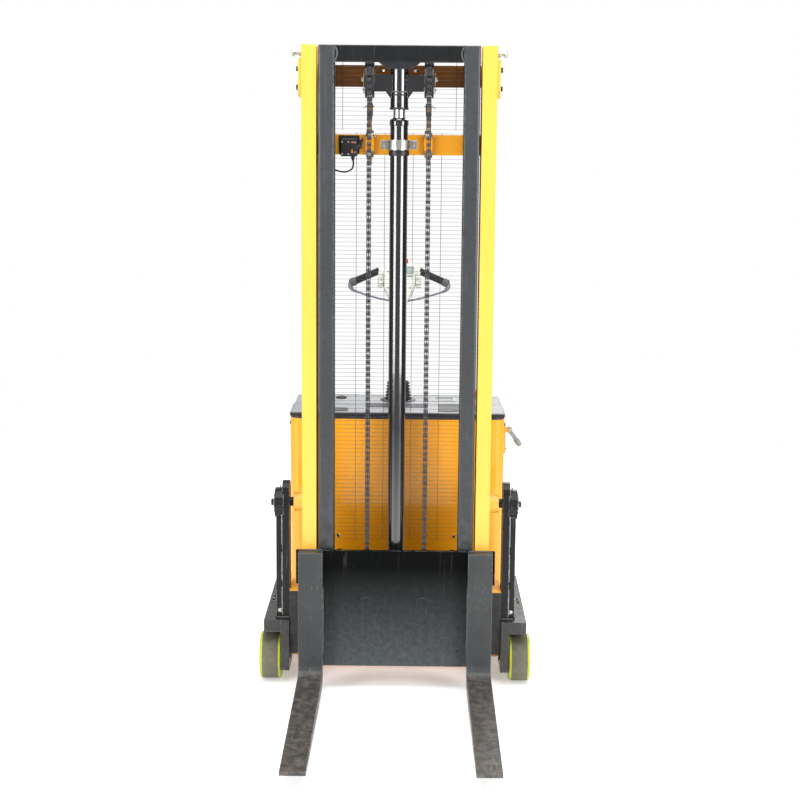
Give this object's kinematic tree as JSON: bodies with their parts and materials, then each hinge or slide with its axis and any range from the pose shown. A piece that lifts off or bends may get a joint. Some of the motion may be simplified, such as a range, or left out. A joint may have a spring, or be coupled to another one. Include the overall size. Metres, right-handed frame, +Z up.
{
  "type": "walkie stacker",
  "caption": "Pedestrian-operated electric stacker: nested two-stage mast, forward forks, short wheeled legs, rear steered drive unit and tiller.",
  "frame": {"origin": "on the floor, under the middle of the machine's length and width", "axes": "+Z up, -Y along the forks towards their tips, +Y towards the operator, +X to the right as seen from the fork side"},
  "size_m": [0.87, 1.54, 2.01],
  "materials": {
    "mast_yellow": "glossy bright yellow paint",
    "panel_yellow": "glossy orange-yellow paint",
    "frame_black": "semi-gloss black paint",
    "fork_black": "matt dark grey paint, worn at the heels and tips",
    "steel": "zinc-plated steel",
    "chrome": "hard chrome",
    "chain_steel": "dark oiled steel",
    "polyurethane": "yellow-green polyurethane, dusty tread",
    "hood_grey": "light grey textured paint with a black rim",
    "black_plastic": "black moulded plastic",
    "cream_plastic": "off-white moulded plastic, black grips",
    "rubber": "black rubber bellows",
    "red_plastic": "red moulded plastic",
    "grey_plastic": "grey moulded plastic",
    "aluminium": "cast aluminium"
  },
  "bodies": {
    "chassis": {"mast_channel_left": "mast_yellow", "mast_channel_right": "mast_yellow", "crossmember_top": "mast_yellow", "crossmember_mid": "panel_yellow", "chassis_beam": "panel_yellow", "front_panel": "panel_yellow", "side_panel_left": "panel_yellow", "side_panel_right": "panel_yellow", "rear_cover": "panel_yellow", "mast_guard": "frame_black", "lift_cylinder": "frame_black", "leg_left": "frame_black", "leg_right": "frame_black", "mast_post_left": "frame_black", "mast_post_right": "frame_black", "battery_tray_left": "frame_black", "battery_tray_right": "frame_black", "drive_deck": "frame_black", "power_unit": "frame_black", "cylinder_clamp": "steel", "hood_deck": "hood_grey", "limit_switch": "black_plastic", "battery_pack": "black_plastic", "motor_controller": "aluminium"},
    "inner_mast": {"lift_ram": "chrome", "inner_crosshead": "frame_black", "sheave_carrier": "frame_black", "inner_channel_left": "frame_black", "inner_channel_right": "frame_black", "lift_chain_left": "chain_steel", "lift_chain_right": "chain_steel"},
    "carriage": {"carriage_plate": "frame_black", "carriage_side_left": "frame_black", "carriage_side_right": "frame_black", "fork_left": "fork_black", "fork_right": "fork_black"},
    "sheave_left": {"sheave_left": "steel"},
    "sheave_right": {"sheave_right": "steel"},
    "carriage_roller_left": {"carriage_roller_left": "steel"},
    "carriage_roller_right": {"carriage_roller_right": "steel"},
    "load_wheel_left": {"load_wheel_left": "polyurethane"},
    "load_wheel_right": {"load_wheel_right": "polyurethane"},
    "drive_unit": {"drive_unit": "frame_black", "tiller_boot": "rubber"},
    "drive_wheel": {"drive_wheel": "polyurethane"},
    "tiller": {"tiller_arm": "frame_black", "tiller_head": "cream_plastic"},
    "throttle": {"throttle": "black_plastic"},
    "belly_button": {"belly_button": "red_plastic"},
    "lift_button": {"lift_button": "grey_plastic"},
    "lower_button": {"lower_button": "grey_plastic"},
    "horn_button": {"horn_button": "black_plastic"},
    "battery_lid": {"battery_lid": "hood_grey"},
    "emergency_stop": {"emergency_stop": "red_plastic"},
    "ignition_key": {"ignition_key": "steel"},
    "disconnect_lever": {"disconnect_lever": "grey_plastic"},
    "caster_fork_left": {"caster_fork_left": "steel"},
    "caster_fork_right": {"caster_fork_right": "steel"},
    "caster_wheel_left": {"caster_wheel_left": "polyurethane"},
    "caster_wheel_right": {"caster_wheel_right": "polyurethane"}
  },
  "joints": [
    {"name": "mast_lift", "type": "slide", "parent": "chassis", "child": "inner_mast", "axis": [0, 0, 1], "range_m": [0, 1.4]},
    {"name": "carriage_lift", "type": "slide", "parent": "inner_mast", "child": "carriage", "axis": [0, 0, 1], "range_m": [0, 1.4], "deforming": ["lift_chain_left", "lift_chain_right"]},
    {"name": "sheave_left_spin", "type": "hinge", "parent": "inner_mast", "child": "sheave_left", "pos_m": [-0.09, 0.11, 1.91], "axis": [1, 0, 0], "range_deg": [-1700, 10]},
    {"name": "roller_left_spin", "type": "hinge", "parent": "carriage", "child": "carriage_roller_left", "pos_m": [-0.203, 0.1075, 0.4], "axis": [1, 0, 0], "range_deg": [-10, 2040]},
    {"name": "load_wheel_left_spin", "type": "hinge", "parent": "chassis", "child": "load_wheel_left", "pos_m": [-0.401, 0.147, 0.075], "axis": [1, 0, 0], "continuous": true},
    {"name": "sheave_right_spin", "type": "hinge", "parent": "inner_mast", "child": "sheave_right", "pos_m": [0.09, 0.11, 1.91], "axis": [1, 0, 0], "range_deg": [-1700, 10]},
    {"name": "roller_right_spin", "type": "hinge", "parent": "carriage", "child": "carriage_roller_right", "pos_m": [0.203, 0.1075, 0.4], "axis": [1, 0, 0], "range_deg": [-10, 2040]},
    {"name": "load_wheel_right_spin", "type": "hinge", "parent": "chassis", "child": "load_wheel_right", "pos_m": [0.401, 0.147, 0.075], "axis": [1, 0, 0], "continuous": true},
    {"name": "steering", "type": "hinge", "parent": "chassis", "child": "drive_unit", "pos_m": [0, 0.585, 0.3], "axis": [0, 0, 1], "range_deg": [-90, 90]},
    {"name": "drive_wheel_spin", "type": "hinge", "parent": "drive_unit", "child": "drive_wheel", "pos_m": [0, 0.585, 0.105], "axis": [1, 0, 0], "continuous": true},
    {"name": "tiller_pitch", "type": "hinge", "parent": "drive_unit", "child": "tiller", "pos_m": [0, 0.585, 0.88], "axis": [-1, 0, 0], "range_deg": [0, 72], "stiffness_Nm_per_rad": 12, "springref_deg": -20.05, "deforming": ["tiller_boot"]},
    {"name": "throttle_turn", "type": "hinge", "parent": "tiller", "child": "throttle", "pos_m": [0, 0.65839, 1.23754], "axis": [1, 0, 0], "range_deg": [-30, 30], "stiffness_Nm_per_rad": 0.3},
    {"name": "belly_press", "type": "slide", "parent": "tiller", "child": "belly_button", "axis": [0, -0.2011, -0.9796], "range_m": [0, 0.008], "stiffness_N_per_m": 400, "springref_m": -0.002},
    {"name": "lift_press", "type": "slide", "parent": "tiller", "child": "lift_button", "axis": [0, -0.9796, 0.2011], "range_m": [0, 0.003], "stiffness_N_per_m": 300, "springref_m": -0.001},
    {"name": "lower_press", "type": "slide", "parent": "tiller", "child": "lower_button", "axis": [0, -0.9796, 0.2011], "range_m": [0, 0.003], "stiffness_N_per_m": 300, "springref_m": -0.001},
    {"name": "horn_press", "type": "slide", "parent": "tiller", "child": "horn_button", "axis": [0, -0.9796, 0.2011], "range_m": [0, 0.003], "stiffness_N_per_m": 300, "springref_m": -0.001},
    {"name": "lid_hinge", "type": "hinge", "parent": "chassis", "child": "battery_lid", "pos_m": [0, 0.34, 0.8273], "axis": [1, 0, 0], "range_deg": [0, 100]},
    {"name": "stop_press", "type": "slide", "parent": "chassis", "child": "emergency_stop", "axis": [0, 0, -1], "range_m": [0, 0.006]},
    {"name": "key_turn", "type": "hinge", "parent": "chassis", "child": "ignition_key", "pos_m": [-0.255, 0.6, 0.847], "axis": [0, 0, -1], "range_deg": [0, 90]},
    {"name": "disconnect_turn", "type": "hinge", "parent": "chassis", "child": "disconnect_lever", "pos_m": [0.3745, 0.45, 0.767], "axis": [0, -1, 0], "range_deg": [0, 40]},
    {"name": "caster_left_swivel", "type": "hinge", "parent": "chassis", "child": "caster_fork_left", "pos_m": [-0.25, 0.64, 0.21], "axis": [0, 0, 1], "continuous": true},
    {"name": "caster_left_spin", "type": "hinge", "parent": "caster_fork_left", "child": "caster_wheel_left", "pos_m": [-0.25, 0.665, 0.045], "axis": [1, 0, 0], "continuous": true},
    {"name": "caster_right_swivel", "type": "hinge", "parent": "chassis", "child": "caster_fork_right", "pos_m": [0.25, 0.64, 0.21], "axis": [0, 0, 1], "continuous": true},
    {"name": "caster_right_spin", "type": "hinge", "parent": "caster_fork_right", "child": "caster_wheel_right", "pos_m": [0.25, 0.665, 0.045], "axis": [1, 0, 0], "continuous": true}
  ],
  "couplings": [
    {"joint": "carriage_lift", "follows": "mast_lift", "ratio": 1},
    {"joint": "sheave_left_spin", "follows": "mast_lift", "rad_per_m": -20.986},
    {"joint": "roller_left_spin", "follows": "mast_lift", "rad_per_m": 25.317},
    {"joint": "sheave_right_spin", "follows": "mast_lift", "rad_per_m": -20.986},
    {"joint": "roller_right_spin", "follows": "mast_lift", "rad_per_m": 25.317}
  ]
}
